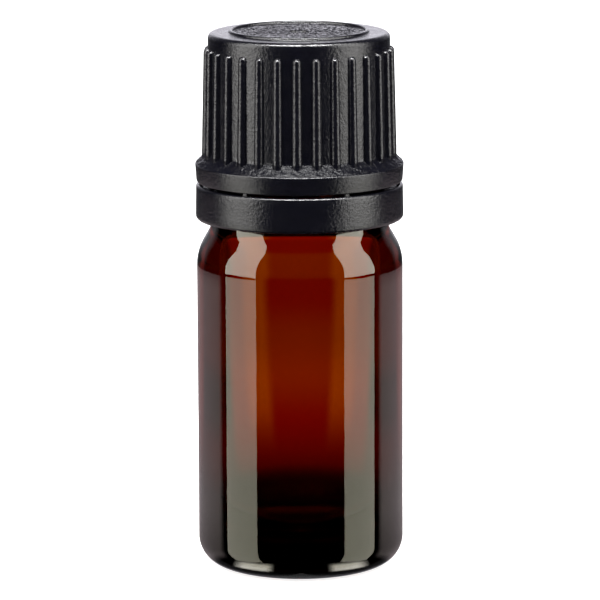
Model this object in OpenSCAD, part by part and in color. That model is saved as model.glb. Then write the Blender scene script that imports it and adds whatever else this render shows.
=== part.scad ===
// A small amber glass bottle for drops, with a drip insert in its neck and a ribbed screw cap
// over it. A tamper ring hangs under the cap on small links. The bottle stands on z = 0, and
// its axis is Z. Heights are stacked from the base up, so a piece that gets longer lifts what
// is above it.

/* [Glass body] */
// Outside diameter of the body
body_d = 22; // [20:0.1:30]
// Height from the base to where the shoulder starts
body_h = 32.6; // [24:0.05:60]
// Thickness of the side wall
wall_t = 2.2; // [1.2:0.1:2.6]
// Thickness of the base, down to the surface that the bottle stands on
base_t = 3.9; // [2.5:0.1:6]
// Radius of the rounded heel
heel_r = 3; // [1:0.1:3.5]
// Width of the flat ring that the bottle stands on
bearing_w = 1.9; // [1:0.1:3]
// Height of the hollow under the base
punt_h = 0.6; // [0.2:0.1:1.2]
// Radius of the corner between the wall and the floor inside
floor_r = 5; // [1:0.1:5.5]

/* [Shoulder] */
// Slope of the shoulder, in degrees from upright
shoulder_a = 30; // [22:1:40]
// Radius where the body turns into the shoulder
shoulder_r = 5.5; // [3:0.1:7]
// Radius where the shoulder turns into the collar of the neck
collar_blend_r = 4; // [1:0.1:4.5]
// Height inside from the start of the shoulder outside to the start of the shoulder inside
inner_lag = 0.3; // [0:0.1:1]
// Slope of the shoulder inside, in degrees from upright
inner_a = 32; // [28:1:50]
// Radius where the wall inside turns into the shoulder
inner_shoulder_r = 5; // [1:0.1:5.5]
// Radius where the shoulder inside turns into the bore
inner_neck_r = 3; // [1:0.1:4]

/* [Neck] */
// How far the collar at the foot of the neck stands in from the side of the body
shoulder_in = 1.75; // [1.3:0.05:2]
// Height of the straight part of the collar
collar_h = 0.35; // [0.2:0.05:1.2]
// Depth of the groove over the collar
groove_depth = 0.95; // [0.9:0.05:1.3]
// Height of the groove
groove_h = 1.83; // [1.75:0.01:2.4]
// How far the bead that keeps the tamper ring on stands out of the groove
bead_out = 0.8; // [0.6:0.05:0.9]
// Height of the bead
bead_h = 1.4; // [1:0.1:1.8]
// Rounding of the collar's and the bead's edges
bead_f = 0.4; // [0.1:0.05:0.45]
// Height from the bead to the lip
finish_h = 9.57; // [9.4:0.01:12]
// How far the thread's crest stands in from the bead
thread_in = 0.2; // [0.1:0.05:0.4]
// Height of the thread over the neck
thread_h = 1; // [0.8:0.05:1.1]
// Rise of the thread in one turn
pitch = 3; // [2.8:0.1:3.2]
// Turns of the thread on the neck
neck_turns = 1.75; // [1.25:0.25:1.75]
// Height from the bead to the middle of the thread's lower end
thread_rise = 1.7; // [1.5:0.1:2]
// Width of the thread at its crest
crest_w = 0.9; // [0.6:0.1:1.1]
// Width of the thread at its foot
foot_w = 1.8; // [1.4:0.1:2]
// Wall of the neck between the turns of the thread
neck_wall = 2.5; // [2.2:0.1:2.7]
// Rounding of the lip
lip_f = 0.5; // [0.2:0.1:0.8]

/* [Drip insert] */
// How far the flange lies out over the lip
flange_over = 1.8; // [1.2:0.1:2.1]
// Thickness of the flange
flange_t = 1; // [0.6:0.1:1.5]
// How far the plug reaches into the bore
plug_depth = 6; // [4:0.5:9]
// Wall of the plug
plug_wall = 0.95; // [0.6:0.05:1.2]
// Gap between the plug and the bore, between the sealing ribs
plug_gap = 0.15; // [0.1:0.05:0.2]
// How much larger in radius than the bore the sealing ribs are
seal_squeeze = 0.05; // [0.02:0.01:0.08]
// Height of one sealing rib
seal_w = 0.8; // [0.5:0.1:1.2]
// Chamfer on the plug's lower edge
plug_chamfer = 0.45; // [0.2:0.05:0.5]
// Rounding of the flange's and the spout's upper edges
insert_f = 0.25; // [0.1:0.05:0.4]
// Height of the spout over the flange
spout_h = 3.5; // [2:0.1:5]
// How much narrower in radius the spout is at its tip
spout_taper = 0.6; // [0.3:0.1:1]
// Diameter of the channel that the drops take
drip_d = 0.9; // [0.5:0.1:1.2]
// Outside diameter of the drip tube and of the air tube
tube_d = 1.8; // [1.7:0.1:2]
// Diameter of the air channel
air_d = 0.7; // [0.4:0.1:0.9]
// Gap between the air tube and the wall of the plug
air_tube_gap = 0.5; // [0.3:0.1:0.6]
// Distance from the spout's foot to the mouth of the air channel
air_mouth_gap = 0.25; // [0.1:0.05:0.4]
// How far the drip tube reaches below the flange
drip_depth = 4.5; // [2:0.5:8]
// How far the air tube reaches below the flange
air_depth = 12; // [7:0.5:20]

/* [Screw cap] */
// Wall of the cap over the flare, between the ribs
cap_wall = 0.81; // [0.7:0.01:1.1]
// How much narrower in radius the cap is at its top
cap_draft = 0.2; // [0.05:0.01:0.3]
// Thickness of the top
cap_top_t = 1.4; // [0.8:0.1:2]
// Rounding of the top edge
cap_edge_f = 0.55; // [0.2:0.05:0.8]
// How far the raised bead on the top stands in from the cap's side
top_bead_in = 2.21; // [1:0.01:4]
// Width of the raised bead on the top
top_bead_w = 0.45; // [0.3:0.05:0.8]
// Height of the raised bead on the top
top_bead_h = 0.3; // [0.25:0.05:0.8]
// Diameter of the dish around the gate mark
gate_d = 2.2; // [1.4:0.1:3]
// Depth of the dish around the gate mark
gate_depth = 0.25; // [0.1:0.05:0.4]
// Diameter of the gate's stub
stub_d = 0.6; // [0.4:0.1:0.8]
// How far the flare's crest stands out from the side of the body
flare_over = 0.11; // [0:0.01:0.5]
// How much narrower in radius the skirt is at its lower edge
skirt_draft = 0.12; // [0:0.01:0.3]
// Height of the skirt, from its lower edge to the crest of the flare
skirt_h = 1.95; // [1.7:0.05:2.5]
// Height of the sloping top of the flare
slope_h = 1.1; // [0.6:0.05:1.3]
// Rounding of the skirt's edges
skirt_f = 0.15; // [0.05:0.05:0.25]
// Gap between the glass thread's crest and the cap's bore
bore_gap = 0.15; // [0.1:0.05:0.2]
// Gap between the cap's thread and the neck
cap_thread_gap = 0.3; // [0.2:0.05:0.4]
// Turns of the thread in the cap
cap_turns = 1.5; // [1:0.25:1.5]
// Width of the cap's thread at its crest
cap_crest_w = 0.5; // [0.4:0.1:0.7]
// Width of the cap's thread at its foot
cap_foot_w = 1.2; // [1:0.1:1.3]
// Wall of the sleeve that closes the spout
sleeve_wall = 0.85; // [0.6:0.05:1.2]
// Gap between the spout and the cap, at the sleeve, the flange and the tip
seal_gap = 0.3; // [0.2:0.05:0.4]
// How far the hollow inside the flare follows below the flare's sloping top
flare_lag = 0.25; // [0.2:0.05:0.5]
// Rounding and chamfer of the corner between the cap's wall and its top, inside
inner_corner = 0.55; // [0.3:0.05:0.6]

/* [Grip ribs] */
// Number of grip ribs around the cap
rib_count = 30; // [18:2:36]
// Angle by which the first rib stands away from the middle, in degrees
rib_phase = -1.4; // [-6:0.1:6]
// Radius of a half-round rib at its top
rib_top_r = 0.45; // [0.25:0.01:0.5]
// Radius of a half-round rib at its foot
rib_low_r = 0.54; // [0.3:0.01:0.6]
// Height from the top of the ribs to the top of the cap
rib_drop = 1.6; // [0.9:0.1:4]

/* [Tamper ring] */
// How far the ring's foot stands out from the side of the body
ring_over = 0.08; // [0:0.01:0.5]
// How much narrower in radius the ring is at its top
ring_draft = 0.05; // [0:0.01:0.2]
// Height of the ring
ring_h = 3.8; // [3.2:0.1:4.2]
// Wall of the ring
ring_wall = 1; // [0.8:0.05:1.1]
// How far the ring reaches up over the lower side of the neck bead
ring_rise = 1.05; // [0.8:0.05:1.2]
// Rounding of the ring's top edge
ring_top_f = 0.3; // [0.1:0.05:0.35]
// Rounding of the ring's lower edge
ring_low_f = 0.45; // [0.2:0.05:0.6]
// How far the flap reaches in under the neck bead
flap_bite = 0.35; // [0.2:0.05:0.45]
// Gap between the flap and the neck bead over it
flap_gap = 0.3; // [0.2:0.05:0.4]
// Thickness of the flap
flap_t = 0.55; // [0.4:0.05:0.6]
// Height of the sloping underside of the flap
flap_slope_h = 1.1; // [0.8:0.1:1.2]
// Number of slits in the flap
slit_count = 12; // [6:1:16]
// Width of a slit
slit_w = 0.6; // [0.3:0.1:1]

/* [Tear bridges] */
// Gap between the ring and the cap's skirt
tear_gap = 0.3; // [0.25:0.05:0.6]
// Number of bridges in the gap
bridge_count = 12; // [6:1:16]
// Angle by which the first bridge stands away from the middle, in degrees
bridge_phase = -2.3; // [-15:0.1:15]
// Length of a bridge from inside to outside
bridge_l = 0.45; // [0.3:0.05:0.5]
// Width of a bridge on the ring
bridge_foot_w = 0.6; // [0.4:0.05:0.8]
// Width of a bridge at the cap, where it tears
bridge_tip_w = 0.35; // [0.2:0.05:0.5]

/* [Hidden] */
$fn = 96;

glass_colour = "#7a2c06";
insert_colour = "#e9e7dd";
cap_colour = "#1b1b1d";

// Points on a rounding of the profiles, and steps in one turn of a thread
arc_steps = 8;
turn_steps = 24;
// How deep a thread's foot sits in the wall that carries it, and how deep its ends sink
thread_sink = 0.35;
thread_end_sink = 0.15;
// Share of a turn over which a thread rises out of its wall
thread_fade = 0.12;
// How far the ribs' lower ends reach below the top of the slope, inside the flare
rib_sink = 0.75;
// The rounding of a rib's top end: how far round it goes before the flat tip, and in how many steps
rib_end_a = 60;
rib_end_steps = 3;
// How far a cutting body reaches past the face that it opens
past = 0.2;
// Heights of the sealing ribs on the plug, as shares of its depth below the lip
seal_places = [0.3, 0.65];
// Share of a thread's height at which its flank turns to the crest
flank_turn = 0.6;

body_r = body_d / 2;
inner_r = body_r - wall_t;
collar_r = body_r - shoulder_in;
groove_r = collar_r - groove_depth;
bead_r = groove_r + bead_out;
thread_r = bead_r - thread_in;
root_r = thread_r - thread_h;
bore_r = root_r - neck_wall;

// Height of an S-shaped slope from radius ra in to radius rb, at angle a from upright
function slope_height(ra, rb, r1, r2, a) =
    (r1 + r2) * sin(a) + (ra - rb - (r1 + r2) * (1 - cos(a))) / tan(a);

collar_z0 = body_h + slope_height(body_r, collar_r, shoulder_r, collar_blend_r, shoulder_a);
collar_z1 = collar_z0 + collar_h;
bead_z0 = collar_z1 + groove_h;
bead_z1 = bead_z0 + bead_h;
lip_z = bead_z1 + finish_h;
inner_z0 = body_h + inner_lag;
inner_z1 = inner_z0 + slope_height(inner_r, bore_r, inner_shoulder_r, inner_neck_r, inner_a);
neck_thread_z = bead_z1 + thread_rise;

flange_z = lip_z + flange_t;
spout_z = flange_z + spout_h;
plug_r = bore_r - plug_gap;
plug_inner_r = plug_r - plug_wall;
tube_r = tube_d / 2;
flange_r = bore_r + flange_over;
air_x = plug_inner_r - air_tube_gap - tube_r;
spout_foot_r = air_x - air_d / 2 - air_mouth_gap;
spout_tip_r = spout_foot_r - spout_taper;

ceiling_z = spout_z + seal_gap;
cap_z = ceiling_z + cap_top_t;
ring_z1 = bead_z0 + ring_rise;
ring_z0 = ring_z1 - ring_h;
skirt_z = ring_z1 + tear_gap;
crest_z = skirt_z + skirt_h;
slope_z = crest_z + slope_h;
cap_bore_r = thread_r + bore_gap;
cap_low_r = cap_bore_r + cap_wall;
cap_top_r = cap_low_r - cap_draft;
top_bead_r = cap_top_r - top_bead_in;
flare_r = body_r + flare_over;
skirt_r = flare_r - skirt_draft;
cap_thread_r = root_r + cap_thread_gap;
sleeve_r = spout_foot_r + seal_gap;
ring_low_r = body_r + ring_over;
ring_top_r = ring_low_r - ring_draft;
ring_inner_r = ring_top_r - ring_wall;
flap_r = bead_r - flap_bite;
flap_z = bead_z0 - flap_gap;

// Points of an arc round (cr, cz) from angle a0 to angle a1
function arc(cr, cz, r, a0, a1) =
    [for (i = [0:arc_steps]) let (a = a0 + (a1 - a0) * i / arc_steps) [cr + r * cos(a), cz + r * sin(a)]];

// An S-shaped slope from radius ra at height z, in and up to radius rb
function slope_points(ra, rb, z, r1, r2, a) =
    concat(
        arc(ra - r1, z, r1, 0, a),
        arc(rb + r2, z + slope_height(ra, rb, r1, r2, a), r2, 180 + a, 180)
    );

function reversed(points) = [for (i = [len(points) - 1:-1:0]) points[i]];

// Hollow under the base, from the axis out to radius r
function punt_points(r) =
    [for (i = [0:arc_steps - 1]) let (x = i / arc_steps) [x * r, punt_h * (1 - x * x)]];

// How far a thread has risen out of its wall, from 0 at its ends to 1
function fade(turn, turns) = min(1, turn / thread_fade, (turns - turn) / thread_fade);

// Cross-section of a thread of height h: distance out of the wall, and height from its middle
function thread_section(h, crest, foot) = [
    [-thread_sink, -foot / 2],
    [h * flank_turn, -(foot + crest) / 4],
    [h, -crest / 4],
    [h, crest / 4],
    [h * flank_turn, (foot + crest) / 4],
    [-thread_sink, foot / 2]
];

// A thread on a wall of radius r. side is 1 for a thread outside it and -1 for one inside it
module thread(r, z, h, turns, crest, foot, side) {
    steps = round(turns * turn_steps);
    sides = 6;
    points = [
        for (i = [0:steps])
            let (
                turn = turns * i / steps,
                rise = fade(turn, turns) * (h + thread_end_sink) - thread_end_sink
            )
            for (p = thread_section(rise, crest, foot))
                let (out = r + side * p[0])
                [out * cos(360 * turn), out * sin(360 * turn), z + pitch * turn + p[1]]
    ];
    skin = [
        for (i = [0:steps - 1])
            for (j = [0:sides - 1])
                let (
                    a = i * sides + j,
                    b = i * sides + (j + 1) % sides,
                    c = b + sides,
                    d = a + sides
                )
                for (face = side > 0 ? [[a, b, c], [a, c, d]] : [[c, b, a], [d, c, a]])
                    face
    ];
    first = [for (j = [0:sides - 1]) j];
    last = [for (j = [0:sides - 1]) steps * sides + j];
    ends = side > 0 ? [reversed(first), last] : [first, reversed(last)];
    polyhedron(points = points, faces = concat(skin, ends), convexity = 6);
}

// Glass bottle

function glass_outside() = concat(
    punt_points(body_r - heel_r - bearing_w),
    [[body_r - heel_r - bearing_w, 0]],
    arc(body_r - heel_r, heel_r, heel_r, -90, 0),
    slope_points(body_r, collar_r, body_h, shoulder_r, collar_blend_r, shoulder_a),
    arc(collar_r - bead_f, collar_z1 - bead_f, bead_f, 0, 90),
    [[groove_r, collar_z1]],
    [[groove_r, bead_z0]],
    arc(bead_r - bead_f, bead_z0 + bead_f, bead_f, -90, 0),
    arc(bead_r - bead_f, bead_z1 - bead_f, bead_f, 0, 90),
    [[root_r, bead_z1]],
    arc(root_r - lip_f, lip_z - lip_f, lip_f, 0, 90)
);

function glass_inside() = concat(
    reversed(arc(bore_r + lip_f, lip_z - lip_f, lip_f, 180, 90)),
    reversed(slope_points(inner_r, bore_r, inner_z0, inner_shoulder_r, inner_neck_r, inner_a)),
    reversed(arc(inner_r - floor_r, base_t + floor_r, floor_r, -90, 0)),
    [[0, base_t]]
);

module glass_bottle() {
    color(glass_colour)
    union() {
        rotate_extrude()
        polygon(concat(glass_outside(), glass_inside()));
        thread(root_r, neck_thread_z, thread_h, neck_turns, crest_w, foot_w, 1);
    }
}

// Dropper insert

function seal_points(z) = [
    [plug_r, z + seal_w / 2],
    [bore_r + seal_squeeze, z + seal_w / 4],
    [bore_r + seal_squeeze, z - seal_w / 4],
    [plug_r, z - seal_w / 2]
];

module dropper_insert() {
    color(insert_colour)
    difference() {
        union() {
            rotate_extrude()
            polygon(concat(
                [[0, spout_z]],
                arc(spout_tip_r - insert_f, spout_z - insert_f, insert_f, 90, 0),
                [[spout_foot_r, flange_z]],
                arc(flange_r - insert_f, flange_z - insert_f, insert_f, 90, 0),
                [[flange_r, lip_z]],
                [[plug_r, lip_z]],
                seal_points(lip_z - plug_depth * seal_places[0]),
                seal_points(lip_z - plug_depth * seal_places[1]),
                [[plug_r, lip_z - plug_depth + plug_chamfer]],
                [[plug_r - plug_chamfer, lip_z - plug_depth]],
                [[plug_inner_r, lip_z - plug_depth]],
                [[plug_inner_r, lip_z]],
                [[0, lip_z]]
            ));
            translate([0, 0, lip_z - drip_depth])
            cylinder(h = drip_depth + flange_t / 2, r = tube_r);
            translate([air_x, 0, lip_z - air_depth])
            cylinder(h = air_depth + flange_t / 2, r = tube_r);
        }
        translate([0, 0, lip_z - drip_depth - past])
        cylinder(h = drip_depth + flange_t + spout_h + 2 * past, d = drip_d);
        translate([air_x, 0, lip_z - air_depth - past])
        cylinder(h = air_depth + flange_t + 2 * past, d = air_d);
    }
}

// Screw cap

function cap_top() = concat(
    [[0, cap_z - gate_depth]],
    [[gate_d / 2 - gate_depth, cap_z - gate_depth]],
    [[gate_d / 2, cap_z]],
    [[top_bead_r - top_bead_w, cap_z]],
    arc(top_bead_r - top_bead_w / 2, cap_z + top_bead_h - top_bead_w / 2, top_bead_w / 2, 180, 0),
    [[top_bead_r, cap_z]]
);

function cap_side() = concat(
    arc(cap_top_r - cap_edge_f, cap_z - cap_edge_f, cap_edge_f, 90, 0),
    [[cap_low_r, slope_z]],
    arc(flare_r - skirt_f, crest_z - skirt_f, skirt_f, 45, 0),
    arc(skirt_r - skirt_f, skirt_z + skirt_f, skirt_f, 0, -90)
);

function cap_hollow() = concat(
    [[ring_inner_r - seal_gap, skirt_z]],
    [[ring_inner_r - seal_gap, crest_z - flare_lag]],
    [[cap_bore_r, slope_z - flare_lag]],
    [[cap_bore_r, lip_z + flange_t / 2]],
    [[cap_bore_r - inner_corner, flange_z]],
    arc(cap_bore_r - 2 * inner_corner, ceiling_z - inner_corner, inner_corner, 0, 90),
    [[sleeve_r + sleeve_wall, ceiling_z]],
    [[sleeve_r + sleeve_wall, flange_z + seal_gap]],
    [[sleeve_r, flange_z + seal_gap]],
    [[sleeve_r, ceiling_z]],
    [[0, ceiling_z]]
);

// A half-round rib: its axis follows the cap's side, and its top end is round
module grip_rib() {
    low_z = slope_z - rib_sink;
    top_z = cap_z - rib_drop - rib_top_r;
    lean = atan2(cap_draft, cap_z - cap_edge_f - slope_z);
    length = (top_z - low_z) / cos(lean);
    translate([cap_low_r + (slope_z - low_z) * tan(lean), 0, low_z])
    rotate([0, -lean, 0])
    rotate_extrude()
    polygon(concat(
        [[0, 0]],
        [[rib_low_r, 0]],
        [for (i = [0:rib_end_steps]) let (a = rib_end_a * i / rib_end_steps)
            [rib_top_r * cos(a), length + rib_top_r * sin(a)]],
        [[0, length + rib_top_r * sin(rib_end_a)]]
    ));
}

module screw_cap() {
    color(cap_colour)
    union() {
        rotate_extrude()
        polygon(concat(cap_top(), cap_side(), cap_hollow()));
        translate([0, 0, cap_z - gate_depth - past])
        cylinder(h = gate_depth + past, d = stub_d);
        thread(
            cap_bore_r, neck_thread_z + pitch / 2, cap_bore_r - cap_thread_r,
            cap_turns, cap_crest_w, cap_foot_w, -1
        );
        for (i = [0:rib_count - 1])
            rotate([0, 0, rib_phase - 90 + 360 * i / rib_count])
            grip_rib();
    }
}

// Tamper ring

module tamper_ring() {
    color(cap_colour)
    difference() {
        rotate_extrude()
        polygon(concat(
            arc(ring_top_r - ring_top_f, ring_z1 - ring_top_f, ring_top_f, 90, 0),
            arc(ring_low_r - ring_low_f, ring_z0 + ring_low_f, ring_low_f, 0, -90),
            [[ring_inner_r, ring_z0]],
            [[ring_inner_r, flap_z - flap_t - flap_slope_h]],
            [[flap_r, flap_z - flap_t]],
            [[flap_r, flap_z]],
            [[flap_r + flap_t / 2, flap_z]],
            [[ring_inner_r, flap_z - flap_t]],
            [[ring_inner_r, ring_z1]]
        ));
        for (i = [0:slit_count - 1])
            rotate([0, 0, 360 * i / slit_count])
            translate([flap_r - past, -slit_w / 2, ring_z0 - past])
            cube([ring_inner_r - flap_r, slit_w, ring_h]);
    }
}

// Tear bridges

module tear_bridges() {
    outer_r = ring_top_r - ring_top_f;
    color(cap_colour)
    for (i = [0:bridge_count - 1])
        rotate([0, 0, bridge_phase - 90 + 360 * i / bridge_count])
        translate([outer_r, 0, ring_z1])
        rotate([90, 0, -90])
        linear_extrude(height = bridge_l)
        polygon([
            [-bridge_foot_w / 2, 0],
            [bridge_foot_w / 2, 0],
            [bridge_tip_w / 2, tear_gap],
            [-bridge_tip_w / 2, tear_gap]
        ]);
}

glass_bottle();
dropper_insert();
screw_cap();
tamper_ring();
tear_bridges();
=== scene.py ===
import math

import bmesh
import bpy
import mathutils
from mathutils import Euler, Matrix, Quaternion, Vector


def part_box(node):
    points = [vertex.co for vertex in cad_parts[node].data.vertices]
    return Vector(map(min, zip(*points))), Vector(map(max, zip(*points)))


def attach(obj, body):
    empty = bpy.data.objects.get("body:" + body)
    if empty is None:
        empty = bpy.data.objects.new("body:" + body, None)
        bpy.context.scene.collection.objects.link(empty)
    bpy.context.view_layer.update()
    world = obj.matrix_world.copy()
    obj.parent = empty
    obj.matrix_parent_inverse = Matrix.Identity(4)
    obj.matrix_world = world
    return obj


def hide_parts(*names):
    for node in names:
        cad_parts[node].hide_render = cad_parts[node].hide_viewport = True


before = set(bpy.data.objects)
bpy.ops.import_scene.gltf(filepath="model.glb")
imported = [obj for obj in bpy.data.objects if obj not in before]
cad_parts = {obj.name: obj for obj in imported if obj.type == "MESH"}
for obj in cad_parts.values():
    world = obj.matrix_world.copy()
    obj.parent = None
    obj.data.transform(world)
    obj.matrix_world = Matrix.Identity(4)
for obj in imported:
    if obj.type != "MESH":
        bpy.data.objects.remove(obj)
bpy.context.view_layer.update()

MM = 0.001

# Levels along the axis, in mm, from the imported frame
LIP_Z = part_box("glass_bottle")[1].z / MM
RING_Z0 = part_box("tamper_ring")[0].z / MM
RING_Z1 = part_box("tamper_ring")[1].z / MM
SKIRT_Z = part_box("screw_cap")[0].z / MM
TOP_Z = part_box("screw_cap")[1].z / MM
SPOUT_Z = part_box("dropper_insert")[1].z / MM

# Glass, in mm, with its angles (names in _A) in degrees
BODY_R = 11.0
INNER_R = 8.8
BASE_T = 3.9
HEEL_R = 3.0
BEARING_W = 1.9
PUNT_H = 0.6
FLOOR_R = 5.0
SHOULDER_A = 30
SHOULDER_R = 5.5
COLLAR_BLEND_R = 4.0
INNER_LAG = 0.3
INNER_A = 32
INNER_SHOULDER_R = 5.0
INNER_NECK_R = 3.0
COLLAR_R = 9.25
COLLAR_H = 0.35
GROOVE_R = 8.3
GROOVE_H = 1.83
BEAD_R = 9.1
BEAD_H = 1.4
BEAD_F = 0.4
FINISH_H = 9.57
ROOT_R = 7.9
THREAD_H = 1.0
PITCH = 3.0
NECK_TURNS = 1.75
THREAD_RISE = 1.7
THREAD_HALF_W = 0.82
BORE_R = 5.4
LIP_F = 0.5

# Drip insert, in mm
FLANGE_R = 7.2
FLANGE_T = 1.0
PLUG_R = 5.25
PLUG_DEPTH = 6.0
PLUG_WALL = 0.95
SEAL_OUT = 0.16
SEAL_R = 0.2
SEAL_PLACES = (0.3, 0.65)
SPOUT_FOOT_R = 2.3
SPOUT_TIP_R = 1.7
SPOUT_FILLET = 0.3
INSERT_F = 0.25
TIP_F = 0.1
PLUG_F = 0.45
FLANGE_LIFT = 0.02
DRIP_R = 0.45
TUBE_R = 0.9
AIR_R = 0.35
AIR_X = 2.9
DRIP_DEPTH = 4.5
AIR_DEPTH = 12.0
TOOL_SPARE = 1.0

# Cap, in mm, with RIB_PHASE in degrees
CAP_TOP_R = 9.66
CAP_LOW_R = 9.86
CAP_EDGE_F = 0.55
CAP_TOP_T = 1.4
TOP_BEAD_R = 7.45
TOP_BEAD_W = 0.45
TOP_BEAD_H = 0.3
BEAD_FILLET_IN = 0.12
BEAD_FILLET_OUT = 0.15
BEAD_FOOT = 0.2
GATE_R = 1.1
GATE_DEPTH = 0.25
STUB_R = 0.3
STUB_FLAT = 0.6  # share of STUB_R
STUB_FOOT = 1.1  # share of STUB_R
STUB_SINK = 0.02
STUB_F = 0.06
FLARE_R = 11.11
SKIRT_R = 10.99
SKIRT_H = 1.95
SLOPE_H = 1.1
SKIRT_F = 0.15
CAP_BORE_R = 9.05
CAP_THREAD_H = 0.85
CAP_THREAD_HALF_W = 0.53
CAP_TURNS = 1.5
RELIEF_R = 9.73
FLARE_LAG = 0.25
INNER_CORNER = 0.55
SLEEVE_R = 2.6
SLEEVE_WALL = 0.85
SLEEVE_F = 0.15
SEAL_GAP = 0.3
RIB_COUNT = 30
RIB_PHASE = -1.4
RIB_TOP_R = 0.45
RIB_LOW_R = 0.54
RIB_DROP = 1.6
RIB_ABOVE = 0.03
RIB_BELOW = 0.05
RIB_STEPS = 16
LAND_STEPS = 5
LEAST_RIB = 0.3
RIB_REACH = 0.1  # radians on either side of a rib's middle

# Tamper ring and its links, in mm, with LINK_PHASE in degrees
RING_TOP_R = 11.03
RING_LOW_R = 11.08
RING_INNER_R = 10.03
RING_TOP_F = 0.3
RING_LOW_F = 0.45
RING_INNER_F = 0.1
FLAP_R = 8.75
FLAP_GAP = 0.3
FLAP_T = 0.55
FLAP_SLOPE_H = 1.1
FLAP_ROOT = 0.2
FLAP_NOSE = 0.05
FLAP_F = 0.06
FLAP_COUNT = 12
SLIT_W = 0.6
LINK_COUNT = 12
LINK_PHASE = -2.3
LINK_L = 0.45
LINK_FOOT_W = 0.6
LINK_TIP_W = 0.35
LINK_BEVEL = 0.05

# Lengths of the steps along straight lines of the profiles, in mm
BEARING_STEP = 0.6
WALL_STEP = 1.5
THREAD_STEP = 0.12
FLOOR_STEP = 1.2
DISC_STEP = 0.14
LAND_STEP = 0.5
RING_STEP = 0.6

# Share of a turn in which a thread runs in or out
FADE = 0.12

# Levels that follow, in mm
BEAD_Z1 = LIP_Z - FINISH_H
BEAD_Z0 = BEAD_Z1 - BEAD_H
COLLAR_Z1 = BEAD_Z0 - GROOVE_H
COLLAR_Z0 = COLLAR_Z1 - COLLAR_H
CAP_Z = TOP_Z - TOP_BEAD_H
CREST_Z = SKIRT_Z + SKIRT_H
SLOPE_Z = CREST_Z + SLOPE_H
NECK_THREAD_Z = BEAD_Z1 + THREAD_RISE


# Profile helpers: every point is (radius, height) in mm

def arc(cr, cz, r, a0, a1, steps=12):
    """Points on a circle of radius r round (cr, cz), from angle a0 to a1 in degrees."""
    points = []
    for i in range(steps + 1):
        a = math.radians(a0 + (a1 - a0) * i / steps)
        points.append((cr + r * math.cos(a), cz + r * math.sin(a)))
    return points


def line(r0, z0, r1, z1, step):
    """Points from the first end up to, but without, the second."""
    n = max(1, math.ceil(math.hypot(r1 - r0, z1 - z0) / step))
    return [(r0 + (r1 - r0) * i / n, z0 + (z1 - z0) * i / n) for i in range(n)]


def slope_height(ra, rb, r1, r2, a):
    """Height of the slope that slope_points makes."""
    t = math.radians(a)
    return (r1 + r2) * math.sin(t) + (ra - rb - (r1 + r2) * (1 - math.cos(t))) / math.tan(t)


def slope_points(ra, rb, z, r1, r2, a, steps=24):
    """A slope at angle a from radius ra up to rb, rounded with r1 at its foot and r2 at its top."""
    top = z + slope_height(ra, rb, r1, r2, a)
    return arc(ra - r1, z, r1, 0, a, steps) + arc(rb + r2, top, r2, 180 + a, 180, steps)


def thread_rise(theta, z, z0, turns, h, half_w):
    """How far a thread stands out of its wall at that angle and height."""
    best = 0.0
    turn = (theta / (2 * math.pi)) % 1.0
    while turn <= turns:
        d = abs(z - z0 - PITCH * turn)
        if d < half_w:
            rise = min(1.0, turn / FADE, (turns - turn) / FADE)
            best = max(best, h * rise * math.sqrt(1 - (d / half_w) ** 2))
        turn += 1.0
    return best


# Mesh helpers

def link(name, mesh, smooth_angle=40):
    """A scene object of the mesh, with its faces outwards and its edges sharp above that angle."""
    mesh.validate()
    solid = bmesh.new()
    solid.from_mesh(mesh)
    if solid.calc_volume(signed=True) < 0:
        bmesh.ops.reverse_faces(solid, faces=solid.faces)
    solid.to_mesh(mesh)
    solid.free()
    mesh.shade_smooth()
    mesh.set_sharp_from_angle(angle=math.radians(smooth_angle))
    obj = bpy.data.objects.new(name, mesh)
    bpy.context.scene.collection.objects.link(obj)
    return obj


def grid_data(rows, closed=False):
    """Vertices, faces and each face's row. A row is a list of (radius, angle, height), all of one
    length, or a single point on the axis."""
    verts = []
    starts = []
    for row in rows:
        starts.append(len(verts))
        for r, a, z in row:
            verts.append((r * MM * math.cos(a), r * MM * math.sin(a), z * MM))
    faces = []
    owners = []
    pairs = [(i, i + 1) for i in range(len(rows) - 1)]
    if closed:
        pairs.append((len(rows) - 1, 0))
    for i, k in pairs:
        na = len(rows[i])
        nb = len(rows[k])
        n = max(na, nb)
        for j in range(n):
            j1 = (j + 1) % n
            a, a1 = starts[i] + j % na, starts[i] + j1 % na
            b, b1 = starts[k] + j % nb, starts[k] + j1 % nb
            if na == 1:
                faces.append((a, b1, b))
            elif nb == 1:
                faces.append((a, a1, b))
            else:
                faces.append((a, a1, b1, b))
            owners.append(i)
    return verts, faces, owners


def turned(name, profile, count, radius=None, closed=False):
    """A turned solid. radius, if given, changes a point's radius by its index, angle and height."""
    rows = []
    for i, (r, z) in enumerate(profile):
        if r <= 0:
            rows.append([(0.0, 0.0, z)])
            continue
        row = []
        for j in range(count):
            a = 2 * math.pi * j / count
            row.append((radius(i, r, a, z) if radius else r, a, z))
        rows.append(row)
    verts, faces, _ = grid_data(rows, closed)
    mesh = bpy.data.meshes.new(name)
    mesh.from_pydata(verts, [], faces)
    return link(name, mesh)


def joined(name, parts, smooth_angle=40):
    """One mesh of several closed shells, each given as its vertices and faces."""
    verts = []
    faces = []
    for part_verts, part_faces in parts:
        base = len(verts)
        verts.extend(part_verts)
        faces.extend([tuple(base + i for i in face) for face in part_faces])
    mesh = bpy.data.meshes.new(name)
    mesh.from_pydata(verts, [], faces)
    solid = bmesh.new()
    solid.from_mesh(mesh)
    bmesh.ops.recalc_face_normals(solid, faces=solid.faces)
    solid.to_mesh(mesh)
    solid.free()
    return link(name, mesh, smooth_angle)


# Glass bottle

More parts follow.
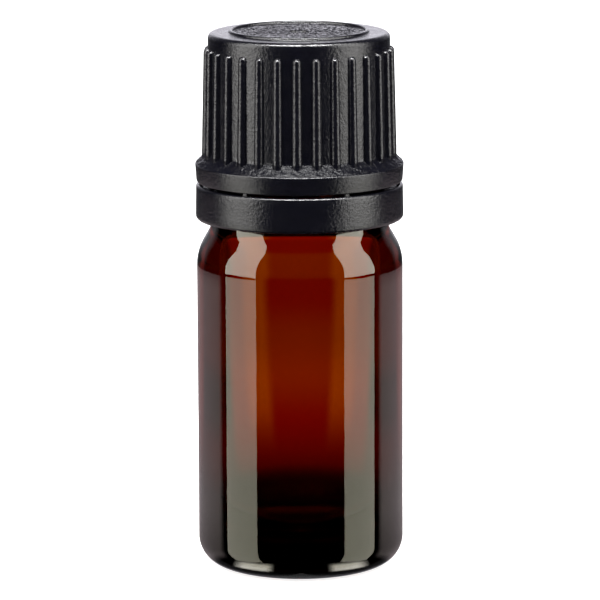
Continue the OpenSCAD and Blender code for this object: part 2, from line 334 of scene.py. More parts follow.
GLASS_ANGLES = 240
PUNT_STEPS = 16
punt_r = BODY_R - HEEL_R - BEARING_W
glass_profile = []
for i in range(PUNT_STEPS):
    share = i / PUNT_STEPS
    glass_profile.append((punt_r * share, PUNT_H * (1 - share ** 2)))
glass_profile += line(punt_r, 0, BODY_R - HEEL_R, 0, BEARING_STEP)
glass_profile += arc(BODY_R - HEEL_R, HEEL_R, HEEL_R, -90, 0, 20)
shoulder_rise = slope_height(BODY_R, COLLAR_R, SHOULDER_R, COLLAR_BLEND_R, SHOULDER_A)
BODY_H = COLLAR_Z0 - shoulder_rise
glass_profile += line(BODY_R, HEEL_R, BODY_R, BODY_H, WALL_STEP)[1:]
glass_profile += slope_points(BODY_R, COLLAR_R, BODY_H, SHOULDER_R, COLLAR_BLEND_R, SHOULDER_A)
glass_profile += arc(COLLAR_R - BEAD_F, COLLAR_Z1 - BEAD_F, BEAD_F, 0, 90)
glass_profile += [(GROOVE_R, COLLAR_Z1), (GROOVE_R, BEAD_Z0)]
glass_profile += arc(BEAD_R - BEAD_F, BEAD_Z0 + BEAD_F, BEAD_F, -90, 0)
glass_profile += arc(BEAD_R - BEAD_F, BEAD_Z1 - BEAD_F, BEAD_F, 0, 90)
neck_first = len(glass_profile)
glass_profile += line(ROOT_R, BEAD_Z1, ROOT_R, LIP_Z - LIP_F, THREAD_STEP)
neck_last = len(glass_profile) - 1
glass_profile += arc(ROOT_R - LIP_F, LIP_Z - LIP_F, LIP_F, 0, 90)
glass_profile += arc(BORE_R + LIP_F, LIP_Z - LIP_F, LIP_F, 90, 180)
inner_z0 = BODY_H + INNER_LAG
glass_profile += slope_points(
    INNER_R, BORE_R, inner_z0, INNER_SHOULDER_R, INNER_NECK_R, INNER_A)[::-1]
glass_profile += line(INNER_R, inner_z0, INNER_R, BASE_T + FLOOR_R, WALL_STEP)[1:]
glass_profile += arc(INNER_R - FLOOR_R, BASE_T + FLOOR_R, FLOOR_R, 0, -90, 20)
glass_profile += line(INNER_R - FLOOR_R, BASE_T, 0, BASE_T, FLOOR_STEP)[1:]
glass_profile += [(0, BASE_T)]


def neck_radius(i, r, a, z):
    """Adds the thread to the neck's rows."""
    if neck_first <= i <= neck_last:
        return r + thread_rise(a, z, NECK_THREAD_Z, NECK_TURNS, THREAD_H, THREAD_HALF_W)
    return r


glass = turned("glass_shell", glass_profile, GLASS_ANGLES, neck_radius)
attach(glass, "bottle")
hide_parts("glass_bottle")


# Drip insert

FLANGE_Z = LIP_Z + FLANGE_T
PLUG_END_Z = LIP_Z - PLUG_DEPTH


def seal(z):
    """Section of a sealing rib of the plug, with its middle at that height."""
    return arc(PLUG_R - SEAL_R, z, SEAL_R + SEAL_OUT, 60, -60, 8)


insert_profile = [(DRIP_R, SPOUT_Z - TIP_F), (DRIP_R + TIP_F, SPOUT_Z)]
insert_profile += arc(SPOUT_TIP_R - INSERT_F, SPOUT_Z - INSERT_F, INSERT_F, 90, 5, 8)
insert_profile += arc(
    SPOUT_FOOT_R + SPOUT_FILLET, FLANGE_Z + SPOUT_FILLET, SPOUT_FILLET, 190, 270, 6)
insert_profile += arc(FLANGE_R - INSERT_F, FLANGE_Z - INSERT_F, INSERT_F, 90, 0, 8)
insert_profile += [(FLANGE_R, LIP_Z + FLANGE_LIFT), (PLUG_R, LIP_Z + FLANGE_LIFT)]
for place in SEAL_PLACES:
    insert_profile += seal(LIP_Z - PLUG_DEPTH * place)
insert_profile += [
    (PLUG_R, PLUG_END_Z + PLUG_F),
    (PLUG_R - PLUG_F, PLUG_END_Z),
    (PLUG_R - PLUG_WALL, PLUG_END_Z),
    (PLUG_R - PLUG_WALL, LIP_Z),
    (TUBE_R, LIP_Z),
    (TUBE_R, LIP_Z - DRIP_DEPTH),
    (DRIP_R, LIP_Z - DRIP_DEPTH),
]
INSERT_ANGLES = 96
INSERT_SMOOTH_A = 35
insert = turned("drip_insert", insert_profile, INSERT_ANGLES, closed=True)


def cylinder(name, x, r, z0, z1, count=32):
    """An upright cylinder at x, in mm."""
    rows = [[(0.0, 0.0, z0)]]
    rows += [[(r, 2 * math.pi * j / count, z) for j in range(count)] for z in (z0, z1)]
    rows += [[(0.0, 0.0, z1)]]
    verts, faces, _ = grid_data(rows)
    mesh = bpy.data.meshes.new(name)
    mesh.from_pydata([(vx + x * MM, vy, vz) for vx, vy, vz in verts], [], faces)
    return link(name, mesh)


def carve(obj, tool, operation):
    """Adds the tool's solid to the object's or takes it away, and deletes the tool."""
    step = obj.modifiers.new("carve", "BOOLEAN")
    step.operation = operation
    step.solver = "EXACT"
    step.object = tool
    depsgraph = bpy.context.evaluated_depsgraph_get()
    mesh = bpy.data.meshes.new_from_object(obj.evaluated_get(depsgraph))
    obj.modifiers.clear()
    old = obj.data
    mesh.name = old.name + "_carved"
    obj.data = mesh
    bpy.data.meshes.remove(old)
    bpy.data.objects.remove(tool, do_unlink=True)


air_z0 = LIP_Z - AIR_DEPTH
air_tube = cylinder("air_tube", AIR_X, TUBE_R, air_z0, LIP_Z + FLANGE_T / 2)
carve(insert, air_tube, "UNION")
air_channel = cylinder("air_channel", AIR_X, AIR_R, air_z0 - TOOL_SPARE, FLANGE_Z + TOOL_SPARE)
carve(insert, air_channel, "DIFFERENCE")
insert.data.shade_smooth()
insert.data.set_sharp_from_angle(angle=math.radians(INSERT_SMOOTH_A))
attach(insert, "bottle")
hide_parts("dropper_insert")


# Screw cap

CEILING_Z = CAP_Z - CAP_TOP_T
SATIN = 0
GRAINED = 1
SPARKLED = 2

cap_rows = []


def cap_profile(points, kind="round", finish=SATIN):
    """Adds rows to the cap. kind is round, rib or thread, and finish is that of the faces from
    each of the rows to the next."""
    for r, z in points:
        cap_rows.append((r, z, kind, finish))


def side_r(z):
    """Radius of the cap's tapered side at that height."""
    share = (z - SLOPE_Z) / (CAP_Z - CAP_EDGE_F - SLOPE_Z)
    return CAP_LOW_R + (CAP_TOP_R - CAP_LOW_R) * min(1.0, max(0.0, share))


rib_top_z = CAP_Z - RIB_DROP - RIB_TOP_R


def rib_r(z):
    """Radius of a rib's half-round section at that height."""
    if z >= rib_top_z + RIB_TOP_R:
        return 0.0
    if z > rib_top_z:
        return math.sqrt(RIB_TOP_R ** 2 - (z - rib_top_z) ** 2)
    share = (z - SLOPE_Z) / (rib_top_z - SLOPE_Z)
    return RIB_LOW_R + (RIB_TOP_R - RIB_LOW_R) * min(1.0, max(0.0, share))


cap_profile([
    (0, CAP_Z - STUB_SINK),
    (STUB_R * STUB_FLAT, CAP_Z),
    (STUB_R, CAP_Z - STUB_F),
    (STUB_R * STUB_FOOT, CAP_Z - GATE_DEPTH),
])
cap_profile(arc(GATE_R - GATE_DEPTH, CAP_Z, GATE_DEPTH, -90, -10, 6))
disc_r = TOP_BEAD_R - TOP_BEAD_W - BEAD_FILLET_IN
bead_mid_r = TOP_BEAD_R - TOP_BEAD_W / 2
cap_profile(line(GATE_R, CAP_Z, disc_r, CAP_Z, DISC_STEP), finish=GRAINED)
cap_profile(arc(disc_r, CAP_Z + BEAD_FILLET_IN, BEAD_FILLET_IN, 270, 350, 4))
cap_profile(arc(bead_mid_r, CAP_Z + TOP_BEAD_H - TOP_BEAD_W / 2, TOP_BEAD_W / 2, 180, 0, 12))
cap_profile(
    arc(TOP_BEAD_R + BEAD_FILLET_OUT, CAP_Z + BEAD_FILLET_OUT, BEAD_FILLET_OUT, 190, 270, 4))
cap_profile(line(TOP_BEAD_R + BEAD_FOOT, CAP_Z, CAP_TOP_R - CAP_EDGE_F, CAP_Z, LAND_STEP))
cap_profile(arc(CAP_TOP_R - CAP_EDGE_F, CAP_Z - CAP_EDGE_F, CAP_EDGE_F, 90, 4, 16))
cap_profile([(side_r(z), z) for z in (CAP_Z - CAP_EDGE_F, rib_top_z + RIB_TOP_R + RIB_ABOVE)])
DOME_STEPS = 12
for i in range(DOME_STEPS + 1):
    z = rib_top_z + RIB_TOP_R * math.cos(math.pi / 2 * i / DOME_STEPS)
    cap_profile([(side_r(z), z)], "rib")
RIB_ROWS = 40
for i in range(1, RIB_ROWS):
    z = rib_top_z + (SLOPE_Z + RIB_BELOW - rib_top_z) * i / RIB_ROWS
    cap_profile([(side_r(z), z)], "rib")
SLOPE_ROWS = 20
slope_end_r = FLARE_R - SKIRT_F * (1 - math.cos(math.radians(45)))
slope_end_z = CREST_Z - SKIRT_F * (1 - math.sin(math.radians(45)))
for i in range(SLOPE_ROWS):
    share = i / SLOPE_ROWS
    r = CAP_LOW_R + (slope_end_r - CAP_LOW_R) * share
    z = SLOPE_Z + (slope_end_z - SLOPE_Z) * share
    cap_profile([(r, z)], "rib", SPARKLED)
cap_profile(arc(FLARE_R - SKIRT_F, CREST_Z - SKIRT_F, SKIRT_F, 45, 0, 8))
cap_profile(arc(SKIRT_R - SKIRT_F, SKIRT_Z + SKIRT_F, SKIRT_F, 0, -90, 8))
bore_z0 = SLOPE_Z - FLARE_LAG
bore_z1 = LIP_Z + FLANGE_T / 2
THREAD_CLEAR = 0.1
cap_profile([(RELIEF_R, SKIRT_Z), (RELIEF_R, CREST_Z - FLARE_LAG), (CAP_BORE_R, bore_z0)])
cap_profile(line(CAP_BORE_R, bore_z0 + THREAD_CLEAR, CAP_BORE_R, bore_z1, THREAD_STEP), "thread")
cap_profile([(CAP_BORE_R, bore_z1), (CAP_BORE_R - INNER_CORNER, FLANGE_Z)])
cap_profile(arc(CAP_BORE_R - 2 * INNER_CORNER, CEILING_Z - INNER_CORNER, INNER_CORNER, 0, 90, 8))
SLEEVE_Z = FLANGE_Z + SEAL_GAP
cap_profile([
    (SLEEVE_R + SLEEVE_WALL, CEILING_Z),
    (SLEEVE_R + SLEEVE_WALL, SLEEVE_Z + SLEEVE_F),
    (SLEEVE_R + SLEEVE_WALL - SLEEVE_F, SLEEVE_Z),
    (SLEEVE_R + SLEEVE_F, SLEEVE_Z),
    (SLEEVE_R, SLEEVE_Z + SLEEVE_F),
    (SLEEVE_R, CEILING_Z),
    (0, CEILING_Z),
])


def rib_angles(axis_r, rho):
    """Angles of one rib's samples and of the land after it, from the rib's middle."""
    edge = math.radians(90) + math.asin(rho / (2 * axis_r))
    samples = []
    for k in range(RIB_STEPS + 1):
        f = -edge + 2 * edge * k / RIB_STEPS
        samples.append(math.atan2(rho * math.sin(f), axis_r + rho * math.cos(f)))
    pitch = 2 * math.pi / RIB_COUNT
    gap = pitch - 2 * samples[-1]
    for k in range(1, LAND_STEPS):
        samples.append(samples[RIB_STEPS] + gap * k / LAND_STEPS)
    return samples


# Cell size and depth of the spark texture on each finish that has one, in mm
GRAIN = {GRAINED: (0.30, 0.075), SPARKLED: (0.19, 0.026)}
GRAIN_GAIN = 2.2
GRAIN_LEVEL = 0.5


def grain(r, a, cell, depth):
    """Height of the spark texture at a place seen from above."""
    place = Vector((r * math.cos(a) / cell, r * math.sin(a) / cell, GRAIN_LEVEL))
    return depth * max(-1.0, min(1.0, GRAIN_GAIN * mathutils.noise.noise(place)))


rows = []
finishes = []
for r, z, kind, finish in cap_rows:
    finishes.append(finish)
    if r <= 0:
        rows.append([(0.0, 0.0, z)])
        continue
    axis_r = side_r(z)
    if z < SLOPE_Z:
        axis_r = CAP_LOW_R
    rho = rib_r(z)
    offsets = rib_angles(axis_r, max(rho, LEAST_RIB))
    row = []
    for n in range(RIB_COUNT):
        middle = math.radians(RIB_PHASE - 90 + 360 * n / RIB_COUNT)
        for offset in offsets:
            a = middle + offset
            out = r
            if kind == "rib":
                across = axis_r * math.sin(offset)
                if abs(across) < rho and abs(offset) < RIB_REACH:
                    out = max(r, axis_r * math.cos(offset) + math.sqrt(rho ** 2 - across ** 2))
            elif kind == "thread":
                z0 = NECK_THREAD_Z + PITCH / 2
                out = r - thread_rise(a, z, z0, CAP_TURNS, CAP_THREAD_H, CAP_THREAD_HALF_W)
            lift = grain(out, a, *GRAIN[finish]) if finish in GRAIN else 0.0
            row.append((out + (lift if finish == SPARKLED else 0.0), a, z + lift))
    rows.append(row)
verts, faces, owners = grid_data(rows)
cap_mesh = bpy.data.meshes.new("cap_shell")
cap_mesh.from_pydata(verts, [], faces)
for polygon, owner in zip(cap_mesh.polygons, owners):
    polygon.material_index = finishes[owner]
cap = link("cap_shell", cap_mesh, smooth_angle=45)
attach(cap, "cap")
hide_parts("screw_cap")


# Tamper ring

RING_ANGLES = 256
FLAP_Z = BEAD_Z0 - FLAP_GAP
ring_profile = arc(RING_TOP_R - RING_TOP_F, RING_Z1 - RING_TOP_F, RING_TOP_F, 90, 2, 12)
ring_profile += line(
    RING_TOP_R, RING_Z1 - RING_TOP_F, RING_LOW_R, RING_Z0 + RING_LOW_F, RING_STEP)[1:]
ring_profile += arc(RING_LOW_R - RING_LOW_F, RING_Z0 + RING_LOW_F, RING_LOW_F, 0, -90, 14)
ring_profile += [
    (RING_INNER_R + RING_INNER_F, RING_Z0),
    (RING_INNER_R, RING_Z0 + RING_INNER_F),
    (RING_INNER_R, RING_Z1 - RING_INNER_F),
    (RING_INNER_R + RING_INNER_F, RING_Z1),
]
ring_rows = []
for r, z in ring_profile:
    ring_rows.append([(r, 2 * math.pi * j / RING_ANGLES, z) for j in range(RING_ANGLES)])
ring_parts = [grid_data(ring_rows, closed=True)[:2]]

FLAP_STEPS = 14
flap_low_z = FLAP_Z - FLAP_T
flap_section = [
    (RING_INNER_R + FLAP_ROOT, flap_low_z - FLAP_SLOPE_H),
    (RING_INNER_R, flap_low_z - FLAP_SLOPE_H),
    (FLAP_R + FLAP_NOSE, flap_low_z),
    (FLAP_R, flap_low_z + FLAP_F),
    (FLAP_R, FLAP_Z - FLAP_F),
    (FLAP_R + FLAP_F, FLAP_Z),
    (FLAP_R + FLAP_T / 2, FLAP_Z),
    (RING_INNER_R, flap_low_z),
    (RING_INNER_R + FLAP_ROOT, flap_low_z),
]
for n in range(FLAP_COUNT):
    start = 2 * math.pi * n / FLAP_COUNT
    verts = []
    for k in range(FLAP_STEPS + 1):
        for r, z in flap_section:
            half_slit = math.asin(SLIT_W / 2 / r)
            a = start + half_slit + (2 * math.pi / FLAP_COUNT - 2 * half_slit) * k / FLAP_STEPS
            verts.append((r * MM * math.cos(a), r * MM * math.sin(a), z * MM))
    m = len(flap_section)
    faces = [tuple(range(m)), tuple(FLAP_STEPS * m + j for j in range(m))]
    for k in range(FLAP_STEPS):
        for j in range(m):
            j1 = (j + 1) % m
            faces.append((k * m + j, k * m + j1, (k + 1) * m + j1, (k + 1) * m + j))
    ring_parts.append((verts, faces))
ring = joined("guard_ring", ring_parts)
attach(ring, "tamper_band")
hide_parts("tamper_ring")


# Tear links

link_parts = []
LINK_SEGMENTS = 2
link_out_r = RING_TOP_R - RING_TOP_F
link_in_r = link_out_r - LINK_L
link_corners = ((link_in_r, -1), (link_out_r, -1), (link_out_r, 1), (link_in_r, 1))
link_quads = (
    (0, 3, 2, 1), (4, 5, 6, 7), (0, 1, 5, 4), (1, 2, 6, 5), (2, 3, 7, 6), (3, 0, 4, 7))
for n in range(LINK_COUNT):
    middle = math.radians(LINK_PHASE - 90 + 360 * n / LINK_COUNT)
    along = Vector((math.cos(middle), math.sin(middle), 0))
    across = Vector((-math.sin(middle), math.cos(middle), 0))
    block = bmesh.new()
    corners = []
    for z, half_w in ((RING_Z1, LINK_FOOT_W / 2), (SKIRT_Z, LINK_TIP_W / 2)):
        for r, side in link_corners:
            place = (along * r + across * half_w * side) * MM + Vector((0, 0, z * MM))
            corners.append(block.verts.new(place))
    for quad in link_quads:
        block.faces.new([corners[i] for i in quad])
    rise = (SKIRT_Z - RING_Z1) / 2 * MM
    upright = [e for e in block.edges if abs(e.verts[0].co.z - e.verts[1].co.z) > rise]
    bmesh.ops.bevel(
        block, geom=upright, offset=LINK_BEVEL * MM, segments=LINK_SEGMENTS, affect="EDGES")
    block.verts.index_update()
    link_parts.append((
        [tuple(v.co) for v in block.verts],
        [tuple(v.index for v in face.verts) for face in block.faces],
    ))
    block.free()
links = joined("tear_links", link_parts)
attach(links, "tamper_band")
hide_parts("tear_bridges")


# Material helpers

LEAST_FAR = 1e-6
WHITE = (1.0, 1.0, 1.0, 1.0)


def new_material(name):
    mat = bpy.data.materials.new(name)
    mat.use_nodes = True
    tree = mat.node_tree
    return mat, tree, tree.nodes["Principled BSDF"], tree.nodes["Material Output"]


def feed(tree, value, socket):
    """Links an output to the socket, or sets a constant on it."""
    if isinstance(value, bpy.types.NodeSocket):
        tree.links.new(value, socket)
    else:
        socket.default_value = value


def noise(tree, scale, detail=3.0, roughness=0.5):
    coords = tree.nodes.new("ShaderNodeTexCoord")
    tex = tree.nodes.new("ShaderNodeTexNoise")
    tex.inputs["Scale"].default_value = scale
    tex.inputs["Detail"].default_value = detail
    tex.inputs["Roughness"].default_value = roughness
    tree.links.new(coords.outputs["Object"], tex.inputs["Vector"])
    return tex.outputs["Fac"]


def ranged(tree, value, low, high, from_low=0.3, from_high=0.7):
    node = tree.nodes.new("ShaderNodeMapRange")
    node.inputs["From Min"].default_value = from_low
    node.inputs["From Max"].default_value = from_high
    node.inputs["To Min"].default_value = low
    node.inputs["To Max"].default_value = high
    tree.links.new(value, node.inputs["Value"])
    return node.outputs["Result"]


def bump(tree, height, distance, strength=1.0, before=None):
    node = tree.nodes.new("ShaderNodeBump")
    node.inputs["Strength"].default_value = strength
    node.inputs["Distance"].default_value = distance
    tree.links.new(height, node.inputs["Height"])
    if before is not None:
        tree.links.new(before, node.inputs["Normal"])
    return node.outputs["Normal"]


def math_node(tree, operation, *values):
    node = tree.nodes.new("ShaderNodeMath")
    node.operation = operation
    for socket, value in zip(node.inputs, values):
        feed(tree, value, socket)
    return node.outputs[0]


def product(tree, first, *others):
    for other in others:
        first = math_node(tree, "MULTIPLY", first, other)
    return first


def smooth(tree, value, low, high, start=0.0, end=1.0):
    """start below low, end above high, and a smooth step between them."""
    node = tree.nodes.new("ShaderNodeMapRange")
    node.interpolation_type = "SMOOTHSTEP"
    node.inputs["From Min"].default_value = low
    node.inputs["From Max"].default_value = high
    node.inputs["To Max"].default_value = end
    feed(tree, start, node.inputs["To Min"])
    tree.links.new(value, node.inputs["Value"])
    return node.outputs["Result"]


def polar(tree, vector, front=0.0):
    """Distance from an upright line that stands that far in front of the bottle's axis, the place
    round that line, from 1 straight behind it to -1 straight in front of it, and the height."""
    split = tree.nodes.new("ShaderNodeSeparateXYZ")
    tree.links.new(vector, split.inputs[0])
    y = math_node(tree, "ADD", split.outputs["Y"], front)
    x2 = product(tree, split.outputs["X"], split.outputs["X"])
    y2 = product(tree, y, y)
    far = math_node(tree, "SQRT", math_node(tree, "ADD", x2, y2))
    behind = math_node(tree, "DIVIDE", y, math_node(tree, "MAXIMUM", far, LEAST_FAR))
    return far, behind, split.outputs["Z"]


def mixed(tree, factor, off, on, kind="RGBA"):
    """off where the factor is 0, and on where it is 1."""
    node = tree.nodes.new("ShaderNodeMix")
    node.data_type = kind
    tree.links.new(factor, node.inputs["Factor"])
    feed(tree, off, node.inputs["A"])
    feed(tree, on, node.inputs["B"])
    return node.outputs["Result"]


def emission(tree, colour, strength):
    node = tree.nodes.new("ShaderNodeEmission")
    feed(tree, colour, node.inputs["Color"])
    feed(tree, strength, node.inputs["Strength"])
    return node.outputs[0]


def mixed_shader(tree, factor, off, on):
    node = tree.nodes.new("ShaderNodeMixShader")
    for value, socket in zip((factor, off, on), node.inputs):
        tree.links.new(value, socket)
    return node.outputs[0]


def added_shader(tree, first, second):
    node = tree.nodes.new("ShaderNodeAddShader")
    tree.links.new(first, node.inputs[0])
    tree.links.new(second, node.inputs[1])
    return node.outputs[0]


# Materials. Bump depths are in metres, and noise scales in cells for each metre.

BLACK_DARK = (0.0008, 0.0008, 0.0016, 1)
BLACK_LIGHT = (0.0018, 0.0018, 0.0032, 1)
BLACK_CLOUD = 500
BLACK_WEAR = 900
BLACK_WAVE = 220
BLACK_WAVE_DEPTH = 0.00004
BLACK_WAVE_STRENGTH = 0.25
BLACK_FINE_ROUGHNESS = 0.7


def black_plastic(name, roughness, grain_scale, grain_depth, specular=0.42):
    """roughness is the range that the noise spreads it over."""
    mat, tree, shader, _ = new_material(name)
    colour = mixed(tree, noise(tree, BLACK_CLOUD), BLACK_DARK, BLACK_LIGHT)
    tree.links.new(colour, shader.inputs["Base Color"])
    worn = ranged(tree, noise(tree, BLACK_WEAR, 4), *roughness)
    tree.links.new(worn, shader.inputs["Roughness"])
    shader.inputs["IOR"].default_value = 1.5
    shader.inputs["Specular IOR Level"].default_value = specular
    slow = bump(tree, noise(tree, BLACK_WAVE, 2), BLACK_WAVE_DEPTH, BLACK_WAVE_STRENGTH)
    grain_noise = noise(tree, grain_scale, 2, BLACK_FINE_ROUGHNESS)
    fine = bump(tree, grain_noise, grain_depth, 1.0, slow)
    tree.links.new(fine, shader.inputs["Normal"])
    return mat


satin = black_plastic("black_polypropylene_satin", (0.17, 0.25), 3500, 0.00005)
grained = black_plastic("black_polypropylene_grained", (0.16, 0.24), 4500, 0.00003)
sparkled = black_plastic(
    "black_polypropylene_sparkled", (0.14, 0.19), 5000, 0.00006, specular=0.08)
# In the order of the finishes SATIN, GRAINED and SPARKLED
for mat in (satin, grained, sparkled):
    cap.data.materials.append(mat)
ring.data.materials.append(satin)
links.data.materials.append(satin)

# Amber glass, a little dull on its inner wall near the floor, with its ranges in metres
GLASS_TINT = (1.0, 0.985, 0.83, 1)
GLASS_COLOUR = (0.853, 0.66, 0.02, 1)
GLASS_DENSITY = 2150
INSIDE_FAR = (INNER_R * MM + 0.0003, INNER_R * MM + 0.0008, 1.0, 0.0)
INSIDE_HEIGHT = (0.0030, 0.0036)
DULL_HEIGHT = (0.007, 0.012, 0.16, 0.0)
amber, tree, shader, output = new_material("amber_glass")
shader.inputs["Base Color"].default_value = WHITE
shader.inputs["Transmission Weight"].default_value = 1.0
shader.inputs["IOR"].default_value = 1.52
shader.inputs["Specular Tint"].default_value = GLASS_TINT
coords = tree.nodes.new("ShaderNodeTexCoord")
far, _, up = polar(tree, coords.outputs["Object"])
inside = product(tree, smooth(tree, far, *INSIDE_FAR), smooth(tree, up, *INSIDE_HEIGHT))
dull = product(tree, inside, smooth(tree, up, *DULL_HEIGHT))
wavy = ranged(tree, noise(tree, 260, 2), 0.0, 0.025)
tree.links.new(math_node(tree, "ADD", wavy, dull), shader.inputs["Roughness"])
ripple = bump(tree, noise(tree, 95, 2), 0.0001, 0.10)
tree.links.new(bump(tree, noise(tree, 700, 2), 0.00001, 0.10, ripple), shader.inputs["Normal"])
absorb = tree.nodes.new("ShaderNodeVolumeAbsorption")
absorb.inputs["Color"].default_value = GLASS_COLOUR
absorb.inputs["Density"].default_value = GLASS_DENSITY
tree.links.new(absorb.outputs["Volume"], output.inputs["Volume"])
glass.data.materials.append(amber)

# Natural polyethylene
MILKY_DARK = (0.80, 0.80, 0.75, 1)
MILKY_LIGHT = (0.88, 0.88, 0.84, 1)
MILKY_RADIUS = (0.001, 0.001, 0.0009)
ldpe, tree, shader, _ = new_material("natural_polyethylene")
tree.links.new(
    mixed(tree, noise(tree, 300), MILKY_DARK, MILKY_LIGHT), shader.inputs["Base Color"])
tree.links.new(ranged(tree, noise(tree, 900, 4), 0.34, 0.46), shader.inputs["Roughness"])
shader.inputs["Subsurface Weight"].default_value = 0.3
shader.inputs["Subsurface Radius"].default_value = MILKY_RADIUS
shader.inputs["Subsurface Scale"].default_value = 0.5
tree.links.new(bump(tree, noise(tree, 5000, 2), 0.000002), shader.inputs["Normal"])
insert.data.materials.clear()
insert.data.materials.append(ldpe)


# Painted light and shade seen through the glass, on the floor and in the world: glow colours,
# bright amber strips and where they lie. FAR ranges run over metres, and ROUND and UP ranges from
# -1 to 1
LIT_ROUND = (0.915, 0.955)
STRIP_START_ROUND = (0.972, 0.984)
THROUGH_NEAR = (0.80, 0.03, 0.02, 1)
THROUGH_MIDDLE = (1.0, 0.34, 0.03, 1)
THROUGH_DISTANT = (0.87, 0.07, 0.02, 1)
THROUGH_STRIPS = (1.4, 1.1, 0.03, 1)
THROUGH_LEVEL = 0.76


# Floor

FLOOR_HALF = 1.5
FLOOR_GREY = (0.5, 0.5, 0.5, 1)
FLOOR_GLOW = 0.8
# Painted reflection: where and how bright the table glows to gloss only, and the colour of that
# glow
TABLE_FRONT = 0.0086
TABLE_START_FAR = (0.0105, 0.0135)
TABLE_END_FAR = (0.175, 0.215, 1.0, 0.0)
TABLE_ROUND = (0.12, 0.26)
TABLE_LEVEL_ROUND = (0.2, 1.0, 0.9, 0.42)
TABLE_LEVEL_FAR = (0.015, 0.045, 0.6, 1.0)
TABLE_REFLECTION_GLOW_COLOUR = (1.0, 0.86, 0.90, 1)
# Painted highlights: where the glowing patches lie that the heel mirrors, and how bright they glow
PATCH_START_FAR = (0.0102, 0.0108)
PATCH_END_FAR = (0.0124, 0.0134, 1.0, 0.0)
PATCH_DIM_FAR = (0.0118, 0.0126, 1.0, 0.4)
PATCH_START_ROUND = (-0.955, -0.915)
PATCH_END_ROUND = (-0.80, -0.62, 1.0, 0.0)
PATCH_GLINT_COLOUR = (1.0, 0.97, 0.92, 1)
PATCH_GLINT_LEVEL = 6.5
# Painted light and shade seen through the glass: where the floor's glow is brighter or dimmer, and
# darkened near the base
SIDE_NEAR_FAR = (0.060, 0.085, 0.34, 0.045)
SIDE_DISTANT_FAR = (0.100, 0.125, 0.0, 0.265)
BASE_SHADE_FAR = (0.022, 0.082, 0.0, 1.0)
DISTANT_DIM_FAR = (0.095, 0.13, 1.0, 0.78)
FLOOR_STRIP_END_ROUND = (0.9930, 0.9968, 1.0, 0.0)
FLOOR_STRIP_FAR = (0.050, 0.098)
MIDDLE_FAR = (0.070, 0.105)
DISTANT_FAR = (0.125, 0.155)

floor_mesh = bpy.data.meshes.new("floor")
floor_signs = ((-1, -1), (1, -1), (1, 1), (-1, 1))
floor_corners = [(x * FLOOR_HALF, y * FLOOR_HALF, 0) for x, y in floor_signs]
floor_mesh.from_pydata(floor_corners, [], [(0, 1, 2, 3)])
floor = bpy.data.objects.new("floor", floor_mesh)
bpy.context.scene.collection.objects.link(floor)
mat = bpy.data.materials.new("floor")
mat.use_nodes = True
tree = mat.node_tree
tree.nodes.clear()
output = tree.nodes.new("ShaderNodeOutputMaterial")
path = tree.nodes.new("ShaderNodeLightPath")
coords = tree.nodes.new("ShaderNodeTexCoord")

# What the camera and diffuse rays see: a grey floor, with a glow to the camera that makes it white
diffuse = tree.nodes.new("ShaderNodeBsdfDiffuse")
diffuse.inputs["Color"].default_value = FLOOR_GREY
glow = emission(tree, WHITE, product(tree, path.outputs["Is Camera Ray"], FLOOR_GLOW))
plain = added_shader(tree, diffuse.outputs[0], glow)

# What gloss sees of the table: a painted reflection, a glowing disc behind the bottle that only
# gloss sees, and nothing elsewhere
far, behind, _ = polar(tree, coords.outputs["Object"], TABLE_FRONT)
disc = product(
    tree, smooth(tree, far, *TABLE_START_FAR), smooth(tree, far, *TABLE_END_FAR),
    smooth(tree, behind, *TABLE_ROUND))
level = product(
    tree, smooth(tree, behind, *TABLE_LEVEL_ROUND), smooth(tree, far, *TABLE_LEVEL_FAR))
clear = tree.nodes.new("ShaderNodeBsdfTransparent")
painted_table_reflection = mixed_shader(tree, disc, clear.outputs[0], emission(tree, TABLE_REFLECTION_GLOW_COLOUR, level))

# Painted highlights: two glowing patches of table at the foot of the bottle, in front, that only
# gloss sees, which its heel mirrors as bright crescents
far, behind, _ = polar(tree, coords.outputs["Object"])
painted_heel_glints = product(
    tree, smooth(tree, far, *PATCH_START_FAR), smooth(tree, far, *PATCH_END_FAR),
    smooth(tree, far, *PATCH_DIM_FAR), smooth(tree, behind, *PATCH_START_ROUND),
    smooth(tree, behind, *PATCH_END_ROUND), PATCH_GLINT_LEVEL)
painted_gloss_glow = added_shader(tree, painted_table_reflection, emission(tree, PATCH_GLINT_COLOUR, painted_heel_glints))
surface = mixed_shader(tree, path.outputs["Is Glossy Ray"], plain, painted_gloss_glow)

# What the glass lets through of the table: painted light and shade, a glow that only the glass
# sees, bright behind the bottle, with painted amber strips, and painted shade close to its base
side = math_node(
    tree, "ADD", smooth(tree, far, *SIDE_NEAR_FAR), smooth(tree, far, *SIDE_DISTANT_FAR))
level = product(
    tree, smooth(tree, far, *BASE_SHADE_FAR), smooth(tree, behind, *LIT_ROUND, side, 1.0),
    smooth(tree, far, *DISTANT_DIM_FAR), THROUGH_LEVEL)
# Painted light: brighter amber strips on either side of the middle
strips = product(
    tree, smooth(tree, behind, *STRIP_START_ROUND), smooth(tree, behind, *FLOOR_STRIP_END_ROUND),
    smooth(tree, far, *FLOOR_STRIP_FAR))
colour = mixed(tree, smooth(tree, far, *MIDDLE_FAR), THROUGH_NEAR, THROUGH_MIDDLE)
colour = mixed(tree, smooth(tree, far, *DISTANT_FAR), colour, THROUGH_DISTANT)
colour = mixed(tree, strips, colour, THROUGH_STRIPS)
through = emission(tree, colour, level)
surface = mixed_shader(tree, path.outputs["Is Transmission Ray"], surface, through)
tree.links.new(surface, output.inputs["Surface"])
floor_mesh.materials.append(mat)


# World: white to the camera, dark in front of the bottle and bright behind it to its gloss, and to
# the glass a painted glow behind the bottle with painted amber strips

